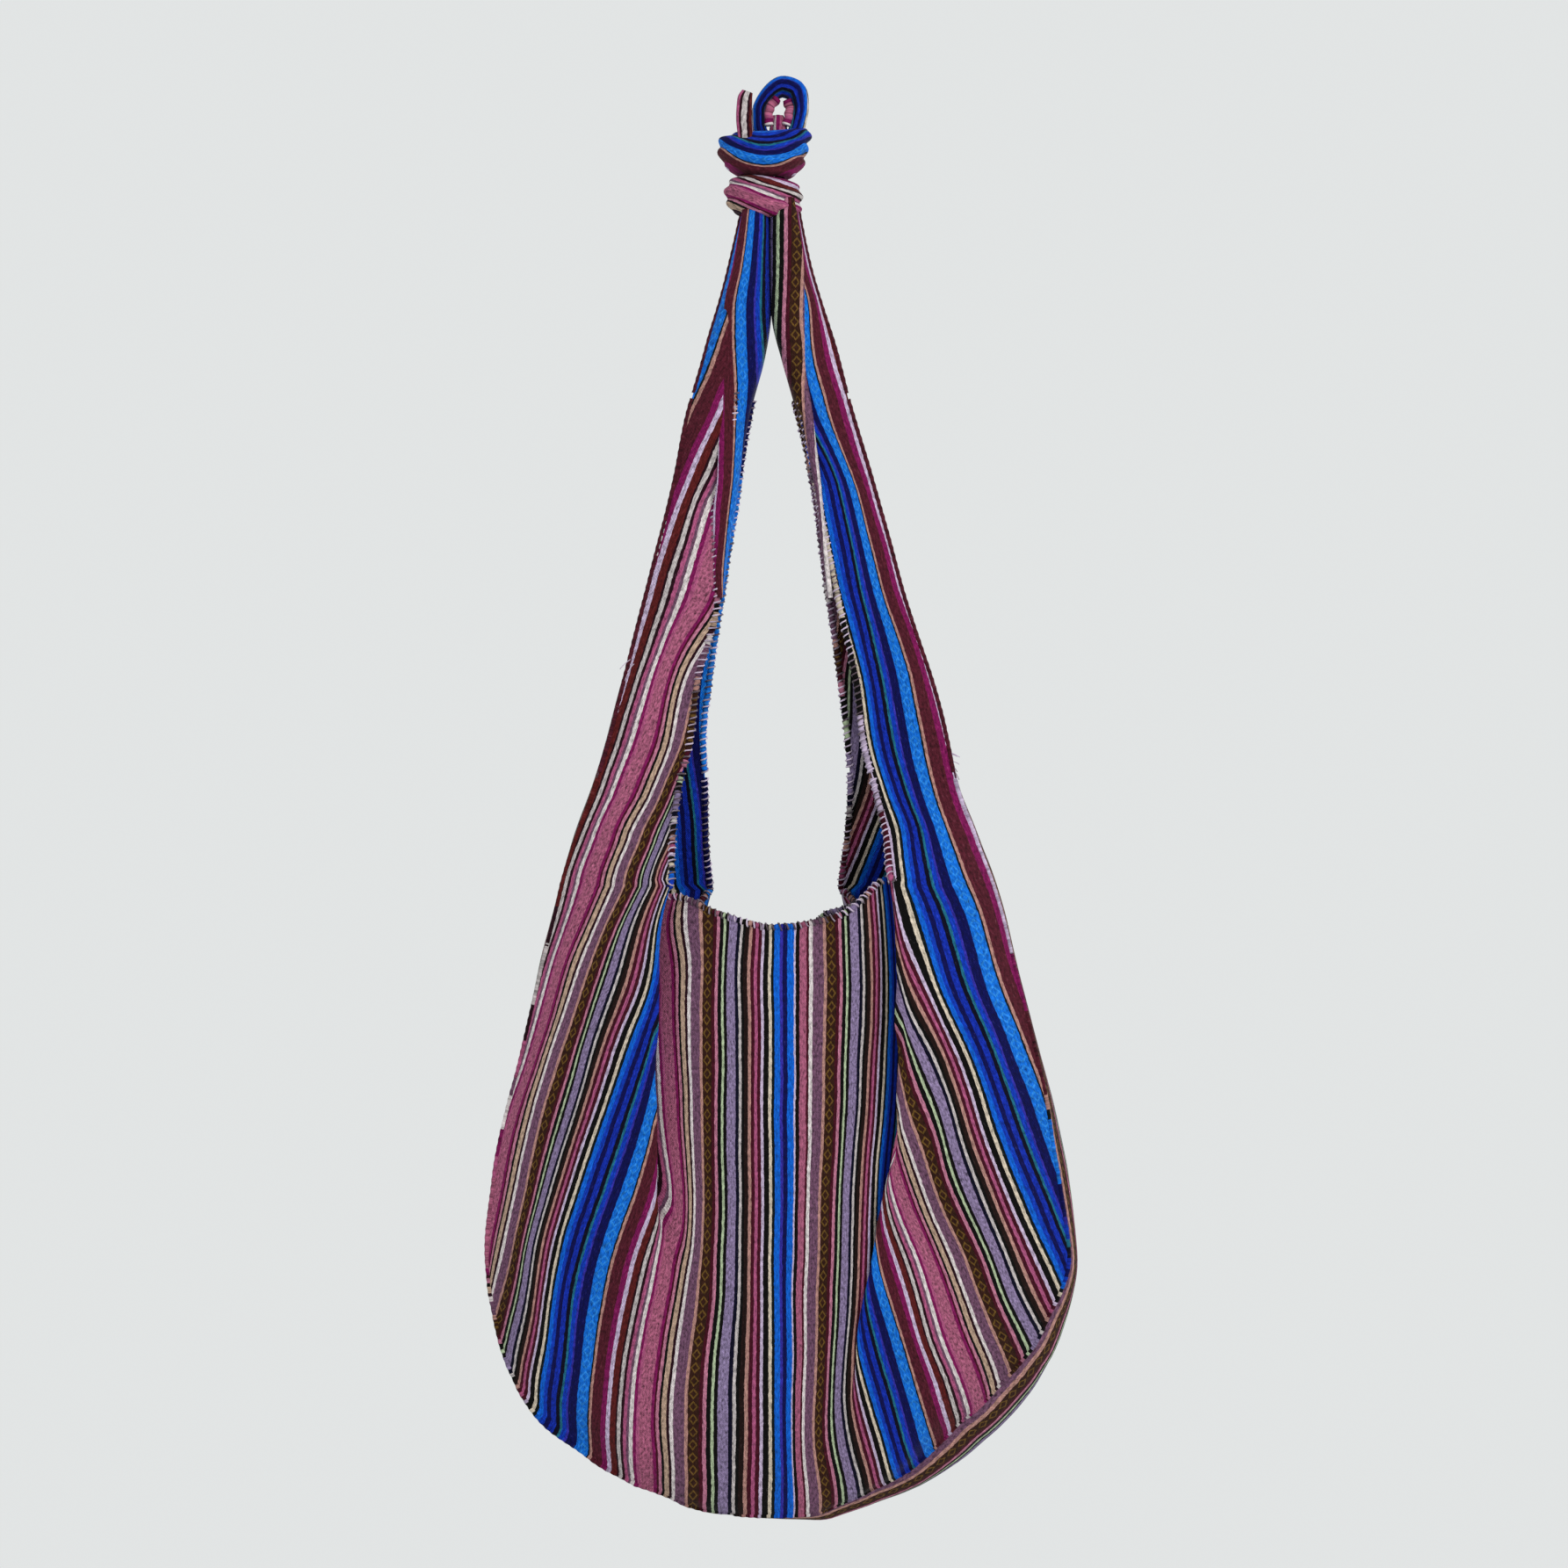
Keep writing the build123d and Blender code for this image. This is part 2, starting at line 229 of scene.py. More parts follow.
def cloth_material(name, light=0.78, fuzz=0.02):
    """The striped cloth: colour by its flat place, yarn mottle, a ribbed weave and soft sheen."""
    material, add = empty_material(name)
    flat = add.put("ShaderNodeUVMap", uv_map="flat")
    split = add.put("ShaderNodeSeparateXYZ")
    add.wire(flat.outputs[0], split.inputs[0])
    across, along = split.outputs[0], split.outputs[1]

    def scaled(by_across, by_along, third=0.0):
        """The flat place, scaled by different amounts across and along the cloth."""
        x, y = add.maths("MULTIPLY", across, by_across), add.maths("MULTIPLY", along, by_along)
        return add.vector(x, y, third)

    def about_zero(value, amount):
        """Noise between 0 and 1, moved to lie either side of zero and scaled."""
        return add.maths("MULTIPLY", add.maths("SUBTRACT", value, 0.5), amount)

    slow = add.noise(scaled(0.03, 0.02), 1.0, 1.0)
    quick = add.noise(scaled(0.9, 0.35), 1.0, 1.0)
    wander = about_zero(slow, 2.8)
    ragged = about_zero(quick, 0.7)
    placed = add.maths("ADD", add.maths("ADD", across, wander), ragged)
    shade, mottle = None, None
    for start, kind in REPEAT:
        run = add.put("ShaderNodeGroup", node_tree=GROUPS[kind])
        local = add.maths("SUBTRACT", placed, start)
        add.wire(local, run.inputs["Across"])
        add.wire(along, run.inputs["Along"])
        if shade is None:
            shade, mottle = run.outputs["Color"], run.outputs["Mottle"]
            continue
        chosen = add.maths("GREATER_THAN", placed, start)
        shade = add.mix(chosen, shade, run.outputs["Color"])
        blend = add.put("ShaderNodeMix", data_type="FLOAT")
        add.wire(chosen, blend.inputs["Factor"])
        add.wire(mottle, blend.inputs["A"])
        add.wire(run.outputs["Mottle"], blend.inputs["B"])
        mottle = blend.outputs["Result"]

    # Dyed yarn: deep colours sink towards black, and the pale lines stay bright.
    deepen = add.put("ShaderNodeGamma")
    deepen.inputs["Gamma"].default_value = 1.28
    add.wire(shade, deepen.inputs["Color"])
    shade = deepen.outputs["Color"]

    # Yarn: light and dark flecks that run along the cloth, stronger in the mottled stripes.
    yarn = add.noise(scaled(1.15, 0.32), 1.0, 3.0, 0.7)
    fleck = add.noise(scaled(0.8, 0.62, 7.0), 1.0, 2.0, 0.6)
    fleck = about_zero(fleck, add.maths("MULTIPLY", mottle, 2.4))
    body = about_zero(yarn, 3.0)
    faded = about_zero(slow, 0.25)
    gain = add.maths("ADD", add.maths("ADD", body, fleck), add.maths("ADD", faded, 1.0))
    gain = add.maths("MULTIPLY", add.maths("MAXIMUM", gain, 0.12), light)
    shade = add.mix(1.0, shade, add.vector(gain, gain, gain), "MULTIPLY")

    # Pale lint on the yarn's crests.
    lint = add.maths("SUBTRACT", yarn, 0.62)
    lint = add.maths("MULTIPLY", lint, 0.9, clamp=True)
    shade = add.mix(lint, shade, (0.40, 0.35, 0.40, 1.0))

    # Weave: warp ribs crossed by weft, under a millimetre apart.
    warp = add.maths("SINE", add.maths("MULTIPLY", across, 2 * math.pi / WARP_PITCH))
    weft = add.maths("SINE", add.maths("MULTIPLY", along, 2 * math.pi / WEFT_PITCH))
    weave = add.maths("MULTIPLY", warp, weft)
    height = add.maths("ADD", add.maths("MULTIPLY", weave, 0.35), yarn)
    add.surface(shade, height, 0.55, 0.0006, {
        "Roughness": 0.88, "Specular IOR Level": 0.12, "Sheen Weight": fuzz, "Sheen Roughness": 0.45,
    })
    return material


def thread_material(name, first, second):
    """Sewing thread: twisted fibre in two close shades."""
    material, add = empty_material(name)
    place = add.put("ShaderNodeTexCoord").outputs["Object"]
    grain = add.noise(place, 900.0, 3.0, 0.6)
    patch = add.noise(place, 60.0, 2.0, 0.5)
    tone = add.maths("MULTIPLY", add.maths("SUBTRACT", patch, 0.42), 6.0, clamp=True)
    shade = add.mix(tone, colour(first), colour(second))
    shade = add.mix(add.maths("MULTIPLY", grain, 0.5), shade, colour("mauve"))
    add.surface(shade, grain, 0.5, 0.0003, {"Roughness": 0.75, "Sheen Weight": 0.2})
    return material


GROUPS = {kind: stripe_group(kind) for kind in STRIPES}
PANEL_CLOTH = cloth_material("striped_cotton_panels")
STRAP_CLOTH = cloth_material("striped_cotton_straps")
SEAM_CLOTH = cloth_material("striped_cotton_seams", 0.68)
THREAD = thread_material("overlock_thread", "lilac_white", "black")

# Smooth tracks -------------------------------------------------------------------------------


def smooth(knots, values, wanted):
    """A curve with no overshoot through values at knots (values may have more axes), read at wanted."""
    knots, values, wanted = (np.asarray(a, float) for a in (knots, values, wanted))
    gaps = np.diff(knots)
    shape = (-1,) + (1,) * (values.ndim - 1)
    steps = np.diff(values, axis=0) / gaps.reshape(shape)
    slopes = np.zeros_like(values)
    slopes[0], slopes[-1] = steps[0], steps[-1]
    if len(knots) > 2:
        before, after = steps[:-1], steps[1:]
        same = before * after > 0
        harmonic = np.where(same, 2 * before * after / np.where(same, before + after, 1), 0)
        slopes[1:-1] = harmonic
    place = np.clip(np.searchsorted(knots, wanted) - 1, 0, len(gaps) - 1)
    u = ((wanted - knots[place]) / gaps[place]).reshape(shape)
    h = gaps[place].reshape(shape)
    a, b, m, n = values[place], values[place + 1], slopes[place], slopes[place + 1]
    return (
        (2 * u**3 - 3 * u**2 + 1) * a + (u**3 - 2 * u**2 + u) * h * m
        + (3 * u**2 - 2 * u**3) * b + (u**3 - u**2) * h * n
    )


def table(rows, column):
    """A function of height read from one column of a table whose first column is the height."""
    ordered = sorted(rows)
    heights = [row[0] for row in ordered]
    values = [row[column] for row in ordered]
    return lambda z: float(smooth(heights, np.array(values)[:, None], np.array([z]))[0, 0])


# The bag's girth: height, half width, front and back, as the CAD solids have it.
GIRTH = [
    (-346, 92.0, -7.5, 8.5), (-372, 102.5, -15.0, 16.0), (-400, 111.0, -24.0, 24.0),
    (-424, 118.0, -30.0, 29.0), (-476, 128.5, -39.0, 35.0), (-530, 140.0, -43.0, 37.0),
    (-585, 149.0, -43.0, 37.5), (-640, 140.5, -39.0, 37.0), (-675, 121.5, -34.0, 36.0),
    (-700, 92.0, -28.0, 34.0), (-717, 60.0, -23.0, 31.0), (-727, 28.0, -17.0, 28.0),
]
half_width, front_line, back_line = (table(GIRTH, n) for n in (1, 2, 3))
BACK_PLANE = 36.6


def girth_depth(x, z, side):
    """How far the bag bulges to the front (side -1) or back (side 1) at a place, as a Y."""
    front, back = front_line(z), back_line(z)
    middle, half_depth = (front + back) / 2, (back - front) / 2
    reach = max(0.0, 1 - min(1.0, abs(x) / half_width(z)) ** 2.5)
    return min(middle + side * half_depth * reach**0.4, BACK_PLANE)


# Sheets ---------------------------------------------------------------------------------------


def wrinkle(s, t, x, z):
    """How far the cloth stands out of its smooth shape, in folds that run with the stripes."""
    broad = noise.noise(Vector((s * 0.035, t * 0.007, 3.1)))
    fine = noise.noise(Vector((s * 0.11, t * 0.018, 9.7)))
    cross = noise.noise(Vector((x * 0.018, z * 0.035, 5.3)))
    return 2.2 * broad + 0.9 * fine + 0.7 * cross


class Sheet:
    """Points of a cloth surface with their flat places, and the quads between them."""

    def __init__(self):
        self.points = np.zeros((0, 3))
        self.flat = np.zeros((0, 2))
        self.quads = []

    def grid(self, places, flats):
        """Adds a grid of rows by columns of points, and returns their numbers."""
        rows, columns = places.shape[:2]
        first = len(self.points)
        self.points = np.vstack([self.points, places.reshape(-1, 3)])
        self.flat = np.vstack([self.flat, flats.reshape(-1, 2)])
        numbers = first + np.arange(rows * columns).reshape(rows, columns)
        for i in range(rows - 1):
            for j in range(columns - 1):
                self.quads.append((
                    numbers[i, j], numbers[i + 1, j], numbers[i + 1, j + 1], numbers[i, j + 1],
                ))
        return numbers

    def weld(self):
        """Joins points that lie in the same place both in space and on the flat cloth."""
        keys = np.round(np.hstack([self.points, self.flat]), 3)
        _, first, inverse = np.unique(keys, axis=0, return_index=True, return_inverse=True)
        inverse = inverse.reshape(-1)
        self.points, self.flat = self.points[first], self.flat[first]
        welded = []
        for quad in self.quads:
            corners = []
            for corner in (int(inverse[c]) for c in quad):
                if corner not in corners:
                    corners.append(corner)
            if len(corners) > 2:
                welded.append(tuple(corners))
        self.quads = welded

    def normals(self):
        """The direction out of the cloth at each point, the same for points in the same place."""
        _, group = np.unique(np.round(self.points, 3), axis=0, return_inverse=True)
        group = group.reshape(-1)
        total = np.zeros_like(self.points)
        for quad in self.quads:
            corners = self.points[list(quad)]
            edge = np.cross(corners[2] - corners[0], corners[-1] - corners[1])
            for corner in quad:
                total[group[corner]] += edge
        length = np.linalg.norm(total, axis=1, keepdims=True)
        return (total / np.maximum(length, 1e-9))[group]

    def crease(self, amount, hold=None):
        """Moves the points along their normals by the wrinkles, less where hold is small."""
        normals = self.normals()
        for number, (point, flat) in enumerate(zip(self.points, self.flat)):
            keep = 1.0 if hold is None else hold(point)
            out = amount * keep * wrinkle(flat[0], flat[1], point[0], point[2])
            self.points[number] = point + out * normals[number]


def mapped_mesh(name, points, faces, flat, material, normals=None):
    """A smooth piece made from points in millimetres, with their flat places as its UV map."""
    mesh = bpy.data.meshes.new(name)
    mesh.from_pydata((points * MM).tolist(), [], faces)
    layer = mesh.uv_layers.new(name="flat")
    corners = np.zeros(len(mesh.loops), dtype=np.int32)
    mesh.loops.foreach_get("vertex_index", corners)
    layer.data.foreach_set("uv", flat[corners].astype(np.float32).ravel())
    mesh.shade_smooth()
    if normals is not None:
        mesh.normals_split_custom_set_from_vertices(normals.tolist())
    mesh.materials.append(material)
    piece = bpy.data.objects.new(name, mesh)
    bpy.context.scene.collection.objects.link(piece)
    return piece


def thin_mesh(name, points, flat, normals, faces, material):
    """A mesh of cloth with two sides and a rim, its own smooth normals and its flat places as a UV."""
    used = sorted({corner for face in faces for corner in face})
    renumber = {old: new for new, old in enumerate(used)}
    count = len(used)
    outer = points[used] + normals[used] * (CLOTH / 2)
    inner = points[used] - normals[used] * (CLOTH / 2)
    front = [tuple(renumber[c] for c in face) for face in faces]
    back = [tuple(c + count for c in reversed(face)) for face in front]
    seen = {}
    for face in front:
        for a, b in zip(face, face[1:] + face[:1]):
            seen[(a, b)] = True
    rim = [(b, a, a + count, b + count) for a, b in seen if (b, a) not in seen]
    return mapped_mesh(
        name, np.vstack([outer, inner]), front + back + rim, np.vstack([flat[used], flat[used]]),
        material, np.vstack([normals[used], -normals[used]]),
    )


def piece_between(sheet, name, top, bottom, material, only=None):
    """The part of a sheet between two heights, as its own piece."""
    normals = sheet.normals()
    heights = sheet.points[:, 2]
    faces = []
    for quad in sheet.quads:
        middle = heights[list(quad)].mean()
        across = sheet.points[list(quad), 0].mean()
        if bottom <= middle <= top and (only is None or only * across > 0):
            faces.append(quad)
    return thin_mesh(name, sheet.points, sheet.flat, normals, faces, material)


def spread(tracks, cuts):
    """Fills in the columns between station tracks: cuts is how many steps each interval gets."""
    knots = np.arange(tracks.shape[1])
    wanted = np.concatenate([np.arange(k, k + 1, 1 / n)[:n] for k, n in enumerate(cuts)] + [[len(cuts)]])
    across = smooth(knots, np.moveaxis(tracks, 1, 0), wanted)
    return np.moveaxis(across, 0, 1)


def with_lengths(grid):
    """Splits a grid of x, y, z, s into points and flat places, with T as the height below the origin."""
    flats = np.stack([grid[..., 3], -grid[..., 2] * SLACK], axis=-1)
    return grid[..., :3], flats


def rows_between(levels, top, bottom):
    """Heights from top to bottom, evenly spaced, with the given levels among them."""
    marks = sorted({top, bottom, *[level for level in levels if bottom < level < top]}, reverse=True)
    heights = []
    for high, low in zip(marks, marks[1:]):
        count = max(1, round((high - low) / ROW_STEP))
        heights += list(np.linspace(high, low, count, endpoint=False))
    return np.array(heights + [bottom])


# Tables -----------------------------------------------------------------------------------------
#
# A panel is described by rows down its length. Each row is the height and fifteen stations, as
# pairs of S and X: seam, two on the side, the edge of the side fold, the tuck hidden behind it,
# the middle flap's edge under the fold, three across the flap, and the same outwards again.
# A fourth number is the row's height at a station that lies on the mouth edge.

LEFT = slice(0, 4)
RIGHT = slice(11, 15)
LIFTS = (0, 0.1, 0.35, 0.6, -1.3, -0.9, -0.3, 0, -0.3, -0.9, -1.3, 0.6, 0.35, 0.1, 0)
CUTS = (8, 8, 9, 7, 6, 7, 10, 10, 8, 6, 7, 7, 8, 8)
COLUMNS = np.concatenate([[0], np.cumsum(CUTS)])    # the column of points that each station falls on


def even(left, right):
    """Fifteen stations spread evenly from each seam to the middle stripe, which hangs straight."""
    middle = (0, -1.8)
    stations = []
    for k in range(-7, 8):
        end = left if k < 0 else right
        share = abs(k) / 7
        stations.append(tuple(m + (e - m) * share for m, e in zip(middle, end)))
    return stations


# height, how strongly the side folds stand out, stations
FRONT_ROWS = [
    (-404, 7, [(-204, -111.5), (-175, -85), (-148, -67), (-120, -54.5, -404), (-90, -63, -411),
               (-58, -51.5, -409.5), (-35, -30, -418), (0, -1.8, -424.5), (35, 31, -419),
               (74, 55, -401), (125, 66, -405), (182, 57, -400), (193, 66), (222, 98), (231, 111)]),
    (-428, 9, [(-203, -117), (-175, -95), (-148, -79), (-121, -63), (-95, -76),
               (-64, -60), (-36, -31), (0, -1.8), (36, 32),
               (74, 58), (125, 72), (180, 60.5), (193, 74), (222, 107.5), (231, 117.7)]),
    (-446, 10, [(-202, -121.5), (-175, -101.6), (-148, -83), (-119, -60.5), (-95, -75),
                (-71, -60.5), (-45, -39.5), (0, -1.8), (36, 33),
                (75, 59), (125, 74), (172, 61), (193, 79), (222, 112), (229.5, 122)]),
    (-485, 10, [(-199, -131), (-175, -114), (-146, -96), (-106, -62.5), (-92, -75),
                (-74, -62.5), (-45, -39), (0, -1.8), (36, 32),
                (77, 59.5), (115, 73), (152, 62), (178, 82), (206, 110), (225.5, 131.5)]),
    (-519, 9, [(-195, -139.2), (-175, -125.3), (-135, -97), (-94, -61.8), (-87, -70),
               (-76, -62), (-45, -39), (0, -1.8), (36, 31),
               (79, 58.5), (108, 70), (138, 60.3), (168, 86), (196, 111), (221, 138.5)]),
    (-555, 6, [(-191, -145.5), (-172, -131), (-128, -103), (-85, -60), (-82, -65),
               (-78, -57.5), (-45, -38), (0, -1.8), (36, 29.5),
               (75, 52.5), (94, 61), (113, 53.6), (148, 76), (180, 108), (214, 144.5)]),
    (-592, 3, [(-187, -148.4), (-168, -136.5), (-122, -110), (-74, -63), (-63, -54),
               (-53, -46), (-38, -33.5), (0, -1.8), (36, 27.5),
               (63, 46), (76, 53), (90, 47.5), (130, 79), (168, 113), (204, 149)]),
    (-628, 1.5, [(-165, -144.5), (-148, -133), (-112, -107), (-76, -73), (-63, -61),
                 (-52, -50.5), (-38, -37), (0, -1.8), (34, 25.5),
                 (55, 38.5), (63, 43), (71, 40), (104, 66), (141, 100), (177, 137.5)]),
    (-652, 0.8, [(-146, -136.8), (-129, -125), (-100, -98.5), (-74, -75), (-62, -63.5),
                 (-52, -53), (-36, -37.5), (0, -1.8), (31, 22.5),
                 (51, 34), (57, 37.5), (63, 39), (90, 61.5), (120, 90), (152, 121)]),
    (-675, 0, [(-123, -124), (-108, -110.5), (-91, -94), (-74, -77), (-62, -65.5),
               (-52, -55.5), (-34, -36.5), (0, -1.8), (27, 18.5),
               (44, 30), (51, 35), (59, 41.5), (77, 57), (99, 76), (122, 97.5)]),
    (-700, 0, even((-92, -94), (86, 72))),
    (-717, 0, even((-53, -55.5), (49, 43))),
    (-726, 0, even((-27, -29), (31, 26))),
]

BACK_ROWS = [
    (-408, 5, [(-184, -112.5), (-158, -87), (-131, -61), (-104, -36, -408), (-80, -46, -418),
               (-52, -34, -420), (-28, -22, -438), (0, -5, -445), (22, 12, -438),
               (40, 25, -420), (52, 40, -415), (62, 33, -408), (89, 59), (116, 85), (144, 112.5)]),
    (-446, 6, [(-190, -122), (-164, -97), (-136, -70), (-108, -43), (-84, -56),
               (-58, -43), (-30, -24), (0, -2), (30, 22),
               (50, 40), (64, 52), (78, 42), (106, 70), (134, 97), (160, 122)]),
    (-500, 6, [(-186, -134), (-157, -106), (-127, -78), (-98, -50), (-82, -61),
               (-64, -50), (-32, -27), (0, -2), (32, 26),
               (60, 48), (72, 58), (86, 50), (115, 78), (144, 107), (172, 134)]),
    (-560, 3, [(-178, -145), (-146, -115), (-114, -86), (-84, -60), (-76, -62),
               (-66, -56), (-34, -29), (0, -2), (34, 29),
               (66, 56), (76, 62), (86, 62), (114, 88), (144, 117), (174, 145)]),
    (-620, 0, even((-156, -144), (156, 143))),
    (-660, 0, even((-140, -131), (136, 130))),
    (-690, 0, even((-106, -106), (102, 105))),
    (-710, 0, even((-72, -74), (70, 73))),
    (-726, 0, even((-28, -29), (28, 28))),
]

# The strap layers: height and four stations, from the outer seam to the inner edge on the left,
# and from the inner edge to the outer seam on the right.
FRONT_LEFT_ARM = [
    (-50, [(-224, -17), (-220, -15), (-216, -12), (-212, -9)]),
    (-84, [(-224, -24.5), (-221, -22), (-217, -18), (-213, -14)]),
    (-104, [(-224, -29.5), (-221, -27), (-217, -23), (-213, -17)]),
    (-127, [(-223, -36.7), (-219, -32), (-216, -28), (-211, -20)]),
    (-156, [(-219.5, -44.4), (-214, -36.5), (-208, -29.5), (-203, -22)]),
    (-185, [(-215, -51.5), (-208, -42.5), (-201, -33), (-197, -27)]),
    (-214, [(-211.5, -58.5), (-205, -49.5), (-198, -41.5), (-192, -33)]),
    (-256, [(-209, -69), (-199, -56), (-191, -45), (-181, -31.5)]),
    (-300, [(-208.5, -80), (-196, -67), (-180, -53.5), (-167, -42)]),
    (-330, [(-207, -87.5), (-192, -72.5), (-176, -56.5), (-162, -45.5)]),
    (-355, [(-206, -95), (-190, -80), (-172, -63), (-152, -51.5)]),
    (-380, [(-205, -104), (-184, -85), (-163, -68), (-138, -54)]),
]
FRONT_RIGHT_ARM = [
    (-50, [(205, 1), (210, 4), (222, 7), (232, 9)]),
    (-84, [(207, 2), (214, 7), (225, 12), (234, 16)]),
    (-104, [(208, 6), (215, 12), (225, 18), (234, 22)]),
    (-127, [(209, 9), (218, 15.5), (226, 22), (234, 29.3)]),
    (-156, [(204, 12), (213, 17.8), (222, 25.5), (233.5, 36.8)]),
    (-201, [(191, 20), (200, 28.5), (222, 41.5), (233, 50.4)]),
    (-256, [(190, 31), (200, 39.5), (222, 56), (232, 65.2)]),
    (-300, [(187, 40.5), (200, 49.5), (222, 70), (231.5, 79.5)]),
    (-330, [(186, 44), (200, 54.5), (222, 75.5), (231.2, 87)]),
    (-355, [(185, 50), (198, 60), (222, 81), (231, 92.5)]),
    (-380, [(183.5, 55.5), (196, 66), (222, 89.5), (231, 102)]),
]
BACK_LEFT_ARM = [
    (-50, [(-150, -17), (-139, -13), (-128, -9), (-118, -5)]),
    (-108, [(-152, -30), (-140, -21.5), (-128, -13), (-116, -4.3)]),
    (-156, [(-148, -44.4), (-134, -34), (-119, -23), (-105, -12.8)]),
    (-194, [(-146, -53.5), (-131, -42), (-117, -30), (-102, -18.5)]),
    (-240, [(-145, -65), (-130, -52), (-114, -39), (-99, -27)]),
    (-300, [(-149, -80), (-132, -66), (-115, -51), (-98, -36)]),
    (-330, [(-155, -87.5), (-137, -71), (-118, -55), (-100, -39)]),
    (-355, [(-164, -95), (-143, -76), (-123, -57), (-103, -38)]),
    (-380, [(-174, -104), (-151, -82), (-128, -60), (-105, -38)]),
]
BACK_RIGHT_ARM = [
    (-50, [(44, -4.3), (59, 0), (75, 4.5), (90, 9)]),
    (-84, [(43.5, -4), (59, 3), (74, 9.5), (90, 16)]),
    (-108, [(41, -3), (57, 5.5), (74, 14), (90, 22.7)]),
    (-132, [(36, 2.5), (53, 12), (69, 21), (86, 30.5)]),
    (-166, [(30, 11.1), (45, 20.5), (59, 30), (74, 39.5)]),
    (-194, [(25, 16.9), (39, 27), (54, 37.5), (68, 48)]),
    (-256, [(20, 26.3), (36, 39), (52, 52), (68, 65.2)]),
    (-300, [(34, 32.5), (53, 48), (71, 64), (90, 79.5)]),
    (-330, [(40, 36), (59, 53), (77, 70), (96, 87)]),
    (-355, [(46, 37.5), (66, 56), (86, 74), (106, 92.5)]),
    (-380, [(54, 36), (77, 58), (99, 80), (122, 102)]),
]
# Where the back layer wraps round the inner edge to the front: height, S and X of its free end.
LEFT_WRAP = [
    (-50, -88, -17), (-84, -88, -23), (-108, -89, -28), (-156, -86, -30), (-194, -85, -30.5),
    (-214, -84, -32.7), (-240, -86, -33), (-258, -88, -30.5),
]
RIGHT_WRAP = [
    (-50, 31, 8), (-84, 26, 13), (-108, 24, 13.5), (-132, 26, 13.5), (-166, 20, 17.8),
    (-194, 18, 21.5), (-230, 18, 25), (-258, 18.5, 27.6),
]
ARM_HALF_THICKNESS = [
    (-50, 9.0), (-110, 7.8), (-148, 6.6), (-200, 5.6), (-255, 5.2), (-300, 5.2), (-346, 5.4),
]
ARM_PROFILE = (0.08, 0.85, 1.0, 0.8)
FRONT_SEAM_DEPTH = [(-404, -8), (-460, -13), (-570, -14), (-680, -13), (-727, -10)]
BACK_SEAM_DEPTH = [(-404, 11), (-460, 20), (-570, 24), (-680, 23), (-727, 17)]
arm_thickness = table(ARM_HALF_THICKNESS, 1)
seam_depth = {-1: table(FRONT_SEAM_DEPTH, 1), 1: table(BACK_SEAM_DEPTH, 1)}


def panel_tracks(rows, side):
    """The rows of a panel as points x, y, z, s, one line of stations per row."""
    tracks = []
    for level, fold, stations in rows:
        line = []
        for number, station in enumerate(stations):
            s, x = station[0], station[1]
            z = station[2] if len(station) > 2 else level
            if number in (0, len(stations) - 1):
                y = seam_depth[side](z)
            else:
                y = girth_depth(x, z, side) + side * fold * LIFTS[number]
            line.append((x, y, z, s))
        tracks.append(line)
    return np.array(tracks)


def arm_tracks(rows, side, mirrored):
    """The rows of one strap layer as points x, y, z, s."""
    profile = ARM_PROFILE[::-1] if mirrored else ARM_PROFILE
    tracks = []
    for level, stations in rows:
        line = []
        for share, (s, x) in zip(profile, stations):
            y = side * share * arm_thickness(max(level, BAG_CUT))
            if level < BAG_CUT:
                outer = share == ARM_PROFILE[0]
                y = side * 4.0 if outer else girth_depth(x, level, side)
            line.append((x, y, level, s))
        tracks.append(line)
    return np.array(tracks)


def grown(rows, tracks, wanted):
    """Tracks read at more heights: rows gives the heights that the tracks were made at."""
    knots = -np.array(rows, float)
    return smooth(knots, tracks, -np.asarray(wanted, float))


def relaxed(grid, passes=36):
    """A grid with the bends at its rows smoothed out. Its seams, top and bottom keep their places."""
    columns = np.ones(grid.shape[1])
    columns[[0, -1]] = 0
    columns[[1, -2]] = 0.5
    hold = np.clip((grid[..., 2] + 722) / 30, 0, 1)[..., None] * columns[None, :, None]
    for _ in range(passes):
        gentle = grid.copy()
        gentle[1:-1] = (grid[:-2] + 2 * grid[1:-1] + grid[2:]) / 4
        grid = grid + (gentle - grid) * hold
    return grid


